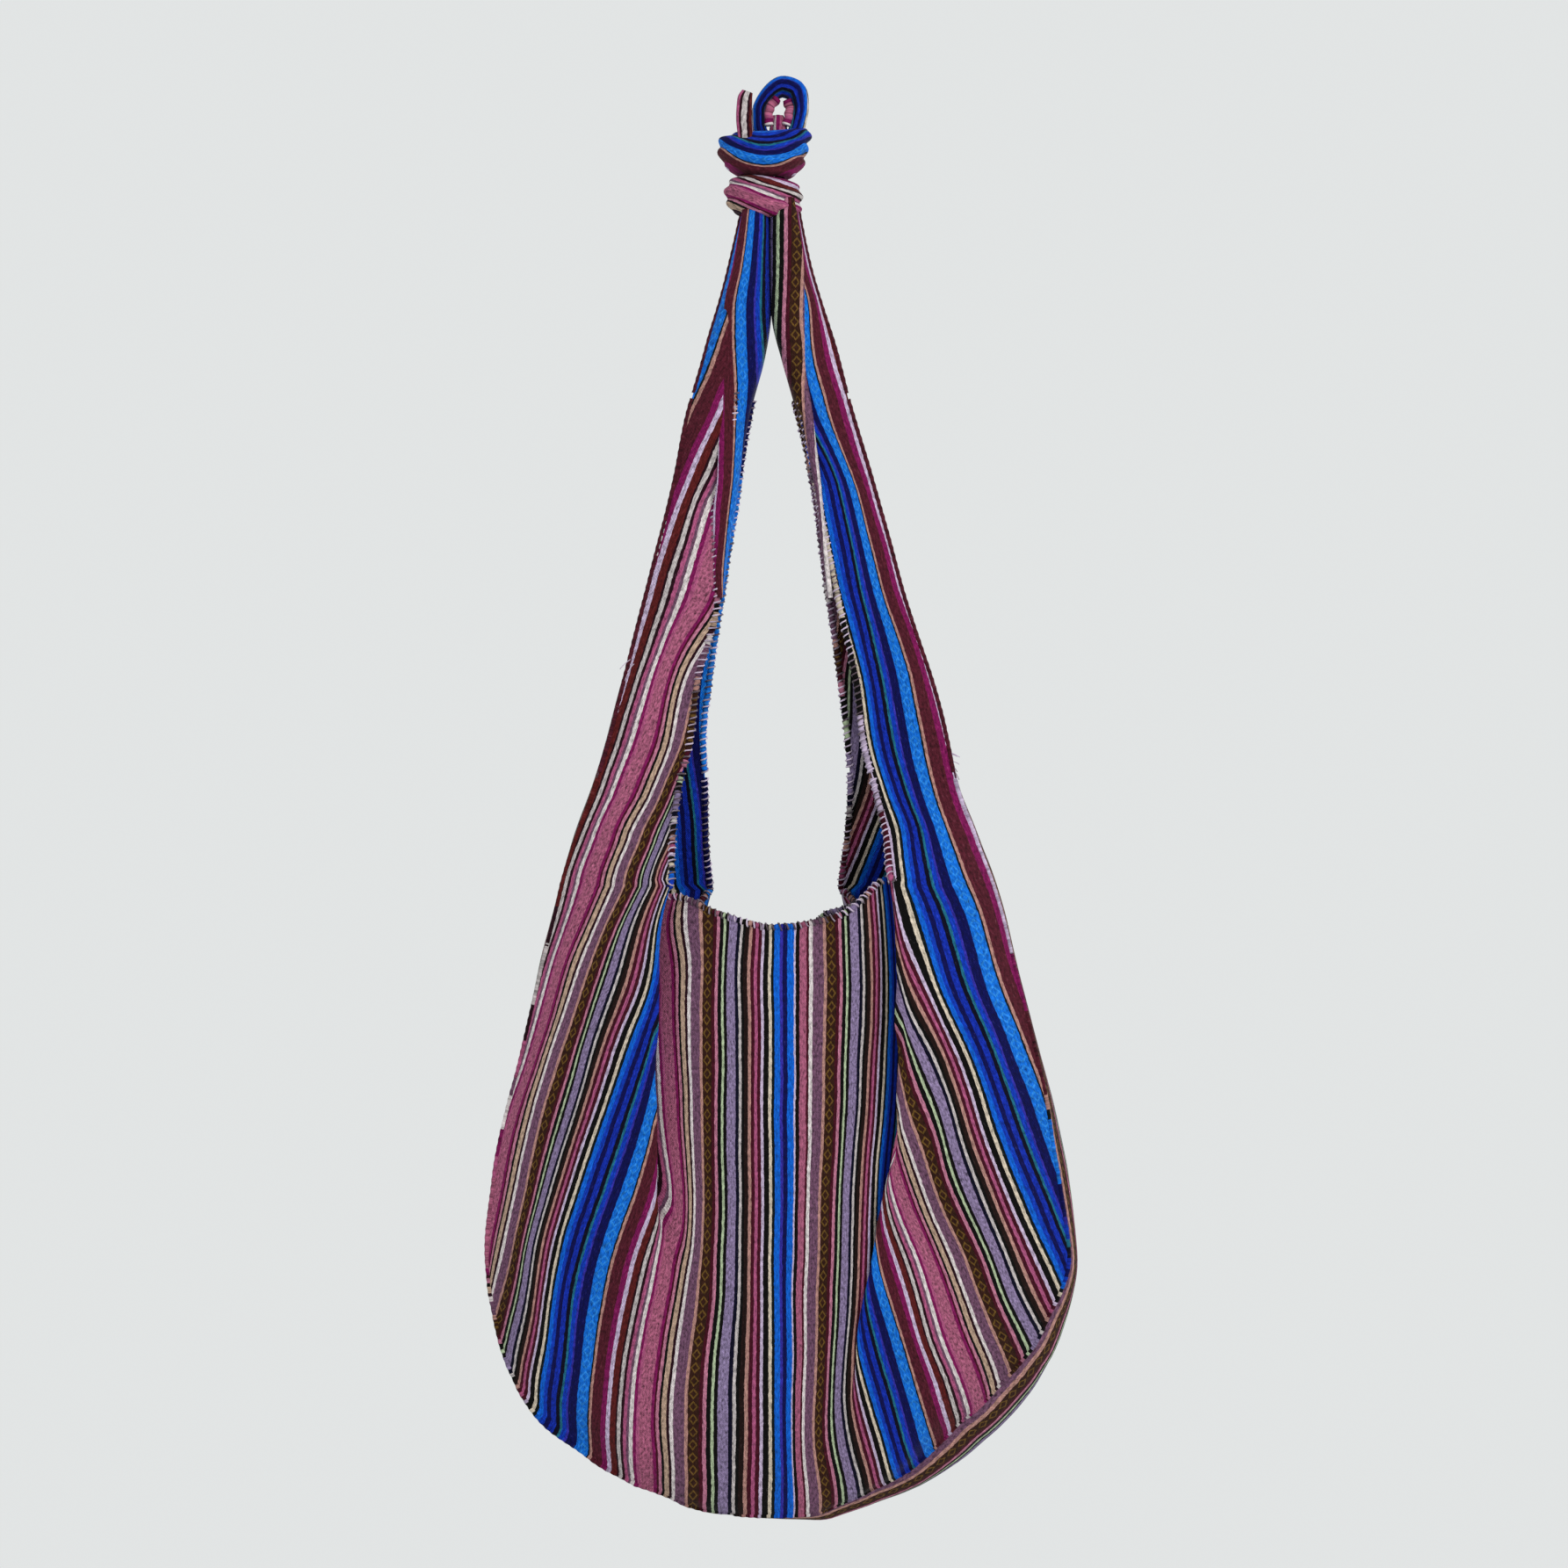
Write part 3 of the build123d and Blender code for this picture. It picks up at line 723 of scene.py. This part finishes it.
class Panel:
    """One cloth: the bag's panel with its two strap layers, as grids that share their edges."""

    def __init__(self, rows, left_arm, right_arm, side):
        body = panel_tracks(rows, side)
        levels = [row[0] for row in rows]
        heights = rows_between(levels, levels[0], levels[-1])
        self.body = relaxed(spread(grown(levels, body, heights), CUTS))
        self.sheet = Sheet()
        self.numbers = {"body": self.sheet.grid(*with_lengths(self.body))}
        self.arms = {}
        for name, arm, stations in (("left", left_arm, LEFT), ("right", right_arm, RIGHT)):
            tracks = arm_tracks(arm, side, name == "right")
            both = np.concatenate([tracks, body[:2, stations]])
            arm_levels = [row[0] for row in arm] + levels[:2]
            above = rows_between([NECK_CUT, BAG_CUT], arm_levels[0], levels[0])
            dense = spread(grown(arm_levels, both, above), CUTS[stations.start:stations.stop - 1])
            first, last = COLUMNS[stations.start], COLUMNS[stations.stop - 1] + 1
            dense[-1] = self.body[0, first:last]
            self.numbers[name] = self.sheet.grid(*with_lengths(dense))
            self.arms[name] = dense

    def wrap(self, name, ends):
        """The part of a strap layer that turns round its inner edge and lies on the front."""
        arm = self.arms[name]
        edge = arm[:, -1] if name == "left" else arm[:, 0]
        edge = edge[edge[:, 2] >= ends[-1][0] - 0.01]
        s_end, x_end = table(ends, 1), table(ends, 2)
        lines = []
        for x, y, z, s in edge:
            thick = arm_thickness(z)
            line = [(x, y, z, s)]
            for share, out in ((0.04, 0.3), (0.2, 1.0), (0.5, 1.3), (0.8, 1.25), (1.0, 1.0)):
                line.append((
                    x + (x_end(z) - x) * share, -out * thick, z, s + (s_end(z) - s) * share,
                ))
            lines.append(line)
        dense = spread(np.array(lines), (2, 4, 6, 6, 4))
        self.sheet.grid(*with_lengths(dense))

    def edge(self, name):
        """The numbers of the points down the outer seam of one side, from the strap's top."""
        column = 0 if name == "left" else -1
        return list(self.numbers[name][:, column]) + list(self.numbers["body"][1:, column])

    def mouth(self):
        """The numbers of the points along the whole inner edge, up one strap and down the other."""
        hem = self.numbers["body"][0, COLUMNS[LEFT.stop - 1] + 1:COLUMNS[RIGHT.start]]
        return list(self.numbers["left"][:, -1]) + list(hem) + list(self.numbers["right"][::-1, 0])

    def rim(self):
        """The numbers of the points along the seam, from the left strap round the bottom."""
        left, right = self.edge("left"), self.edge("right")
        return left + list(self.numbers["body"][-1, 1:-1]) + right[::-1]


front = Panel(FRONT_ROWS, FRONT_LEFT_ARM, FRONT_RIGHT_ARM, -1)
back = Panel(BACK_ROWS, BACK_LEFT_ARM, BACK_RIGHT_ARM, 1)
back.wrap("left", LEFT_WRAP)
back.wrap("right", RIGHT_WRAP)


def quieter(point):
    """Wrinkles fade towards the neck, where the cloth is gathered tight."""
    return float(np.clip((-60 - point[2]) / 120, 0.25, 1.0))


for panel in (front, back):
    panel.sheet.crease(1.25, quieter)

# Edge lines are read before the grids are welded, while their numbers still stand.
front_rim, back_rim = (p.sheet.points[p.rim()] for p in (front, back))
front_rim_flat, back_rim_flat = (p.sheet.flat[p.rim()] for p in (front, back))
front_mouth, back_mouth = (p.sheet.points[p.mouth()] for p in (front, back))
front_mouth_flat, back_mouth_flat = (p.sheet.flat[p.mouth()] for p in (front, back))
for panel in (front, back):
    panel.sheet.weld()


def flat_cut(piece):
    """A sheet's cut in metres: its widest row, its length and its area, worked out from its flat map."""
    mesh = piece.data
    flat = np.zeros(len(mesh.loops) * 2, dtype=np.float32)
    mesh.uv_layers["flat"].data.foreach_get("uv", flat)
    flat = flat.reshape(-1, 2) * MM
    faces = [flat[list(face.loop_indices)] for face in mesh.polygons]
    areas, tops, bottoms = [], [], []
    for s, t in (face.T for face in faces):
        areas.append(abs(s @ np.roll(t, -1) - t @ np.roll(s, -1)) / 4)    # half, as the mesh has two sides
        tops.append(t.min())
        bottoms.append(t.max())
    areas, tops, bottoms = np.array(areas), np.array(tops), np.array(bottoms)
    start, length = tops.min(), bottoms.max() - tops.min()
    heights = np.maximum(bottoms - tops, 1e-9)
    widths = []
    for share in np.linspace(0.02, 0.98, 49):
        level = start + length * share
        crossed = (tops <= level) & (bottoms > level)
        widths.append((areas / heights)[crossed].sum())
    return max(*widths, areas.sum() / length), length, areas.sum()


def declare(piece):
    """Works out the cut of a piece of cloth from its own flat map: its width, length and area, which nothing
    uses.
    """
    width, length, area = map(float, flat_cut(piece))


def neck(piece):
    """Bakes the piece's placing into its mesh: a piece at the neck, between the knot and the strap."""
    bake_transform(piece)


def fold(piece):
    """Bakes the piece's placing into its mesh: a piece at the strap's fold on the bag or below it."""
    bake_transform(piece)


for panel, side_name in ((front, "front"), (back, "back")):
    piece = piece_between(panel.sheet, f"{side_name}_panel_cloth", BAG_CUT, LOWEST, PANEL_CLOTH)
    fold(piece)
    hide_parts(f"{side_name}_panel")
    declare(piece)
    for name, sign in (("left", -1), ("right", 1)):
        arm = piece_between(
            panel.sheet, f"strap_{name}_{side_name}_cloth", NECK_CUT, BAG_CUT, STRAP_CLOTH, sign,
        )
        fold(arm)
        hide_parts(f"strap_{name}_{side_name}")
        declare(arm)
    top = piece_between(panel.sheet, f"neck_{side_name}_cloth", 0, NECK_CUT, STRAP_CLOTH)
    neck(top)
    declare(top)

# Gusset -------------------------------------------------------------------------------------------

GUSSET_TOP = {"left": -288.0, "right": -336.0}
GUSSET_ACROSS = 10
GUSSET_STEP = 3.5
GUSSET_STRIPES = (22.0, 66.0)


def lengths(points):
    """Distance along a line of points, from its first."""
    return np.concatenate([[0], np.cumsum(np.linalg.norm(np.diff(points, axis=0), axis=1))])


def along(points, count):
    """A line read at evenly spaced places."""
    far = lengths(points)
    wanted = np.linspace(0, far[-1], count)
    return np.stack([np.interp(wanted, far, points[:, k]) for k in range(points.shape[1])], axis=1)


def below_gusset_top(points):
    """Which points of a rim are low enough to have the gusset beside them."""
    limit = np.where(points[:, 0] < 0, GUSSET_TOP["left"], GUSSET_TOP["right"])
    return points[:, 2] <= limit


def make_gusset():
    """The band between the two rims, bulging outwards, most at the lower right."""
    ahead = front_rim[below_gusset_top(front_rim)]
    behind = back_rim[below_gusset_top(back_rim)]
    count = int(lengths(ahead)[-1] / GUSSET_STEP)
    ahead, behind = along(ahead, count), along(behind, count)
    far = lengths((ahead + behind) / 2)
    middle = np.array([0, 0, -560.0])
    places = np.zeros((count, GUSSET_ACROSS + 1, 3))
    flats = np.zeros((count, GUSSET_ACROSS + 1, 2))
    for i in range(count):
        outward = (ahead[i] + behind[i]) / 2 - middle
        outward[1] = 0
        outward /= np.linalg.norm(outward)
        low_right = max(0.0, outward[0] * 0.75 - outward[2] * 0.66)
        bulge = 1.5 + 9.0 * low_right**2
        for j in range(GUSSET_ACROSS + 1):
            share = j / GUSSET_ACROSS
            hump = math.sin(math.pi * share) ** 0.7
            places[i, j] = ahead[i] * (1 - share) + behind[i] * share + outward * bulge * hump
            flats[i, j] = (GUSSET_STRIPES[0] + (GUSSET_STRIPES[1] - GUSSET_STRIPES[0]) * share, far[i])
    sheet = Sheet()
    sheet.grid(places, flats)
    inward = sheet.normals()
    if inward[len(inward) // 4] @ (sheet.points[len(inward) // 4] - middle) < 0:
        sheet.quads = [quad[::-1] for quad in sheet.quads]
    sheet.crease(0.5)
    return sheet


gusset = piece_between(make_gusset(), "gusset_cloth", 0, LOWEST, PANEL_CLOTH)
fold(gusset)
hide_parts("gusset")
declare(gusset)

# Seams and hems -----------------------------------------------------------------------------------

ROPE_SIDES = 8


def carried(path):
    """Directions across a path that turn with it: two unit vectors at each point."""
    tangents = np.gradient(path, axis=0)
    tangents /= np.linalg.norm(tangents, axis=1, keepdims=True)
    side = np.cross(tangents[0], (0, 1, 0.01))
    sides, ups = [], []
    for tangent in tangents:
        side = side - tangent * (side @ tangent)
        side /= np.linalg.norm(side)
        sides.append(side.copy())
        ups.append(np.cross(tangent, side))
    return np.array(sides), np.array(ups)


def tube(name, path, strip, radius, material, sides=ROPE_SIDES, ridge=0.0, pitch=1.0):
    """A tube along a path whose radius may ripple like close stitches. strip is S along the path."""
    side, up = carried(path)
    far = lengths(path)
    angles = np.arange(sides) * 2 * math.pi / sides
    ripple = radius * (1 + ridge * np.sin(far[:, None] * 2 * math.pi / pitch + angles[None, :]))
    ring = (side[:, None] * np.cos(angles)[None, :, None] + up[:, None] * np.sin(angles)[None, :, None])
    points = (path[:, None] + ring * ripple[..., None]).reshape(-1, 3)
    faces = []
    for i in range(len(path) - 1):
        for j in range(sides):
            k = (j + 1) % sides
            faces.append((i * sides + j, i * sides + k, (i + 1) * sides + k, (i + 1) * sides + j))
    last = (len(path) - 1) * sides
    faces += [tuple(range(sides))[::-1], tuple(last + j for j in range(sides))]
    flat = np.stack([np.repeat(strip, sides), np.repeat(far, sides)], axis=1)
    return mapped_mesh(name, points, faces, flat, material)


def reading(points, flats, step):
    """A path and its S read every step along it."""
    count = max(4, int(lengths(points)[-1] / step))
    joined = along(np.hstack([points, flats[:, :1]]), count)
    return joined[:, :3], joined[:, 3]


def winding(path, radius, pitch, per_turn=7):
    """A thread's path wound round another path."""
    far = lengths(path)
    turns = far[-1] / pitch
    count = int(turns * per_turn)
    dense = along(path, count)
    side, up = carried(dense)
    angle = np.linspace(0, turns * 2 * math.pi, count)
    sway = 1 + 0.12 * np.sin(angle * 0.37) + 0.08 * np.sin(angle * 0.83)
    out = radius * sway
    return dense + side * (out * np.cos(angle))[:, None] + up * (out * np.sin(angle))[:, None]


def stretches(points, flats):
    """A rim or mouth line cut at the joints: (part, side) and the points of each stretch."""
    middle_index = int(np.argmin(points[:, 2]))
    upper_left = [i for i in range(middle_index) if points[i, 2] >= NECK_CUT]
    arm_left = [i for i in range(middle_index) if NECK_CUT >= points[i, 2] >= BAG_CUT]
    arm_right = [i for i in range(middle_index, len(points)) if NECK_CUT >= points[i, 2] >= BAG_CUT]
    upper_right = [i for i in range(middle_index, len(points)) if points[i, 2] >= NECK_CUT]
    bag = [i for i in range(len(points)) if points[i, 2] <= BAG_CUT]
    parts = [
        ("neck", "left", upper_left), ("strap", "left", arm_left), ("bag", "", bag),
        ("strap", "right", arm_right), ("neck", "right", upper_right),
    ]
    return [(part, side, points[i], flats[i]) for part, side, i in parts if len(i) > 3]


SEAM_RADIUS = 1.3
SEAM_STRIPE = 224.5     # the plain maroon stripe, which the straps' outer seams are rolled from
HEM_RADIUS = 1.5
for side_name, rim, rim_flat in (("front", front_rim, front_rim_flat), ("back", back_rim, back_rim_flat)):
    for part, side, points, flats in stretches(rim, rim_flat):
        if side_name == "back" and part != "bag":
            continue
        path, strip = reading(points, flats, 0.9)
        if part != "bag":
            strip = np.full(len(strip), SEAM_STRIPE)
        name = f"{side_name}_seam_roll" if part == "bag" else f"{part}_{side}_seam_roll"
        piece = tube(name, path, strip, SEAM_RADIUS, SEAM_CLOTH, ridge=0.1, pitch=4.2)
        if part == "neck":
            neck(piece)
        else:
            fold(piece)
            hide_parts(f"{side_name}_seam" if part == "bag" else f"strap_{side}_seam")

for side_name, line, line_flat in (
    ("front", front_mouth, front_mouth_flat), ("back", back_mouth, back_mouth_flat),
):
    for part, side, points, flats in stretches(line, line_flat):
        if part == "neck":
            continue
        path, strip = reading(points, flats, 0.7)
        name = f"{side_name}_mouth" if part == "bag" else f"strap_{side}_{side_name}"
        piece = tube(f"{name}_hem", path, strip, HEM_RADIUS, SEAM_CLOTH, ridge=0.2, pitch=2.8)
        fold(piece)
        if part == "bag":
            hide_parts(f"{side_name}_mouth_edging")
        elif side_name == "front":
            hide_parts(f"strap_{side}_edging")
        thread = winding(path, HEM_RADIUS + 0.35, 3.4)
        loops = tube(f"{name}_overlock", thread, np.zeros(len(thread)), 0.45, THREAD, sides=4)
        fold(loops)

# The gusset's two cut ends are frayed: short loose yarns beside the seam.
YARNS = 9
chance = random.Random(12)
for name, (x, z, lean) in {"left": (-76.5, -286.0, -1), "right": (88.5, -336.0, 1)}.items():
    for number in range(YARNS):
        start = np.array([x + lean * chance.uniform(-3, 1), chance.uniform(-3, 3), z - chance.uniform(0, 10)])
        reach = np.array([lean * chance.uniform(2, 6), chance.uniform(-2, 2), chance.uniform(-7, 2)])
        curl = np.array([lean * chance.uniform(-1, 1), chance.uniform(-1, 1), -chance.uniform(1, 3)])
        share = np.linspace(0, 1, 8)[:, None]
        yarn_path = start + reach * share + curl * share**2
        yarn = tube(f"fray_{name}_{number}", yarn_path, np.zeros(8), 0.22, THREAD, sides=4)
        fold(yarn)

# Knot and loop --------------------------------------------------------------------------------------

KNOT_X = -8.0


def knot_band(name, middle_z, half_height, half_sizes, stripes, top_shift, slant, hang, gather, seed):
    """A fat gathered band of strap round the knot. stripes is S at its middle, S per millimetre down."""
    around, down = 96, 44
    places = np.zeros((down + 1, around + 1, 3))
    flats = np.zeros((down + 1, around + 1, 2))
    for i in range(down + 1):
        rise = math.pi * (0.5 - i / down)
        girth = 0.5 + 0.5 * max(0.0, math.cos(rise)) ** 0.7
        fullness = max(0.0, math.cos(rise)) ** 0.5
        for j in range(around + 1):
            turn = 2 * math.pi * j / around
            pleat = gather * math.sin(rise * 9 + 1.3 * math.sin(turn + seed)) * fullness
            loose = 0.05 * noise.noise(Vector((math.cos(turn) * 1.4, math.sin(turn) * 1.4, seed)))
            size = girth * (1 + pleat + loose)
            x = KNOT_X + top_shift * max(0.0, math.sin(rise)) ** 1.5 + half_sizes[0] * size * math.cos(turn)
            y = half_sizes[1] * size * math.sin(turn)
            lean, smile = slant
            across = (x - KNOT_X) / half_sizes[0]
            rest = half_height * math.sin(rise)
            level = rest * 1.15 - lean * across - smile * across**2
            tilt, sag = hang
            z = middle_z + rest + tilt * across - sag * (1 - min(1.0, across**2))
            places[i, j] = (x, y, z)
            flats[i, j] = (stripes[0] - stripes[1] * level, sum(half_sizes) / 2 * turn)
    sheet = Sheet()
    sheet.grid(places, flats)
    sheet.weld()
    normals = sheet.normals()
    return thin_mesh(name, sheet.points, sheet.flat, normals, sheet.quads, STRAP_CLOTH)


def gathered_tube(name, path, sections, stripes, pleats, around=48):
    """A gathered length of strap along a path. sections is half thickness and half depth along it."""
    tangents = np.gradient(path, axis=0)
    tangents /= np.linalg.norm(tangents, axis=1, keepdims=True)
    far = lengths(path)
    places = np.zeros((len(path), around + 1, 3))
    flats = np.zeros((len(path), around + 1, 2))
    for i, (point, tangent) in enumerate(zip(path, tangents)):
        out = np.array([-tangent[2], 0, tangent[0]])
        for j in range(around + 1):
            turn = 2 * math.pi * j / around
            c, s = math.cos(turn), math.sin(turn)
            ripple = 1 + 0.09 * math.sin(turn * pleats + 0.05 * far[i] + math.sin(far[i] * 0.12))
            thick = math.copysign(abs(c) ** 0.8, c) * sections[i][0] * ripple
            deep = math.copysign(abs(s) ** 0.8, s) * sections[i][1] * ripple
            places[i, j] = point + out * thick + np.array([0, deep, 0])
            flats[i, j] = (stripes[0] + (stripes[1] - stripes[0]) * j / around, far[i])
    sheet = Sheet()
    sheet.grid(places, flats)
    sheet.weld()
    outward = [quad[::-1] for quad in sheet.quads]
    return thin_mesh(name, sheet.points, sheet.flat, -sheet.normals(), outward, STRAP_CLOTH)


def dense_path(points, count):
    """A smooth path in the XZ plane through a few points, each x, z, half thickness, half depth."""
    far = lengths(np.array(points)[:, :2])
    read = smooth(far, np.array(points, float), np.linspace(0, far[-1], count))
    path = np.stack([read[:, 0], np.zeros(count), read[:, 1]], axis=1)
    return path, read[:, 2:]


# The loop: x, z, half thickness, half depth, from its left root over the crown to its right root.
LOOP = [
    (-6.0, -20.5, 3.0, 6.5), (-9.6, -13.0, 3.0, 7.2), (-9.8, -5.0, 3.1, 7.6), (-5.4, 3.6, 3.6, 7.8),
    (2.4, 8.6, 4.3, 7.9), (9.4, 5.8, 4.6, 7.8), (11.4, -3.0, 3.7, 7.6), (9.6, -13.0, 3.3, 7.2),
    (5.6, -20.5, 3.2, 6.5),
]
# The pink folds of its underside that show inside it, as x and z.
INNER_FOLDS = {
    "left": [(-4.6, -12.5), (-5.2, -9), (-4.6, -4), (-0.6, 1.6)],
    "right": [(4.4, -12.5), (5.4, -9), (6.0, -4), (4.6, 0.6)],
}
path, sections = dense_path(LOOP, 60)
loop = gathered_tube("loop_cloth", path, sections, (236, 188), 9)
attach(loop, "loop")
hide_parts("hanging_loop")
declare(loop)

path, sections = dense_path([(0, -7.0, 2.6, 4.0), (0, -14, 4.0, 5.5), (0, -20, 3.5, 5.5)], 16)
throat = gathered_tube("loop_throat_cloth", path, sections, (-100, -60), 7)
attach(throat, "loop")
declare(throat)

for name, places in INNER_FOLDS.items():
    path, _ = dense_path([(x, z, 0, 0) for x, z in places], 40)
    path[:, 1] = -4.5
    roll = tube(f"loop_inner_fold_{name}", path, np.linspace(-72, -60, 40), 2.5, STRAP_CLOTH, 12, 0.12, 5.0)
    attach(roll, "loop")

upper = knot_band(
    "knot_upper_cloth", middle_z=-23.2, half_height=11.0, half_sizes=(22.4, 18.0), stripes=(209, 1.35),
    top_shift=7.5, slant=(0, 7.0), hang=(-1.4, 4.4), gather=0.05, seed=1.0,
)
lower = knot_band(
    "knot_lower_cloth", middle_z=-48.7, half_height=9.7, half_sizes=(19.0, 15.7), stripes=(-72, 1.3),
    top_shift=2.0, slant=(-5.0, 2.0), hang=(-2.4, 0.6), gather=0.05, seed=4.0,
)
for piece, node in ((upper, "knot_upper_wrap"), (lower, "knot_lower_wrap")):
    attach(piece, "knot")
    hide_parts(node)
    declare(piece)

path, sections = dense_path([(-8, -27.5, 8.0, 6.2), (-8, -43, 8.8, 6.8), (-8, -60, 8.6, 6.6)], 24)
core = gathered_tube("knot_core_cloth", path, sections, (18, 70), 11)
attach(core, "knot")
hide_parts("knot_core")
declare(core)

path, sections = dense_path(
    [(-16.4, -22, 3.4, 1.5), (-17.2, -10, 3.6, 1.6), (-16.8, -1, 3.4, 1.4), (-15.6, 2.8, 2.4, 0.9)], 26)
path[:, 1] = -13.2
end_flap = gathered_tube("strap_end_cloth", path, sections, (-217, -197), 3, around=24)
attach(end_flap, "knot")
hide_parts("strap_end")
declare(end_flap)

# Stage ------------------------------------------------------------------------------------------


def plain_material(name, tone, rough):
    """A plain matt surface with a faint mottle."""
    material = bpy.data.materials.new(name)
    material.use_nodes = True
    add = Nodes(material.node_tree)
    shader = material.node_tree.nodes["Principled BSDF"]
    place = add.put("ShaderNodeTexCoord").outputs["Object"]
    patch = add.noise(place, 6.0, 2.0, 0.5)
    darker = tuple(c * 0.94 for c in tone[:3]) + (1.0,)
    add.wire(add.mix(patch, darker, tone), shader.inputs["Base Color"])
    shader.inputs["Roughness"].default_value = rough
    return material


FLOOR_Z = -1.25
mesh = bpy.data.meshes.new("floor")
corners = [(-1.6, -1.3, FLOOR_Z), (1.6, -1.3, FLOOR_Z), (1.6, 1.4, FLOOR_Z), (-1.6, 1.4, FLOOR_Z)]
mesh.from_pydata(corners, [], [(0, 1, 2, 3)])
mesh.materials.append(plain_material("pale_floor", (0.66, 0.67, 0.66, 1.0), 0.8))
floor = bpy.data.objects.new("floor", mesh)
bpy.context.scene.collection.objects.link(floor)

world = bpy.data.worlds.new("pale_room")
world.use_nodes = True
world.node_tree.nodes["Background"].inputs["Color"].default_value = (0.80, 0.82, 0.82, 1.0)
world.node_tree.nodes["Background"].inputs["Strength"].default_value = 0.95
bpy.context.scene.world = world
bpy.context.scene.view_settings.view_transform = "Standard"


def area_light(name, place, target, size, power, tint):
    light = bpy.data.lights.new(name, "AREA")
    light.size = size
    light.energy = power
    light.color = tint
    lamp = bpy.data.objects.new(name, light)
    lamp.location = place
    lamp.rotation_euler = (Vector(target) - Vector(place)).to_track_quat("-Z", "Y").to_euler()
    bpy.context.scene.collection.objects.link(lamp)


MIDDLE = (0.0, 0.0, -0.4)
area_light("key_light", (1.1, -1.5, 0.5), MIDDLE, 0.8, 20, (1.0, 0.98, 0.95))
area_light("fill_light", (-1.4, -1.2, -0.2), MIDDLE, 1.4, 3, (0.93, 0.96, 1.0))
area_light("back_light", (0.4, 1.6, 0.4), MIDDLE, 1.2, 12, (1.0, 1.0, 1.0))

# Camera: level with the middle of the photographed frame, straight in front.
FRAME_WIDTH = 0.811
CAMERA_DISTANCE = 1.5
camera_data = bpy.data.cameras.new("camera")
camera_data.sensor_fit = "HORIZONTAL"
camera_data.angle = 2 * math.atan(FRAME_WIDTH / 2 / CAMERA_DISTANCE)
camera = bpy.data.objects.new("camera", camera_data)
camera.location = (0.003, -CAMERA_DISTANCE, -0.352)
camera.rotation_euler = (math.pi / 2, 0, 0)
bpy.context.scene.collection.objects.link(camera)
bpy.context.scene.camera = camera
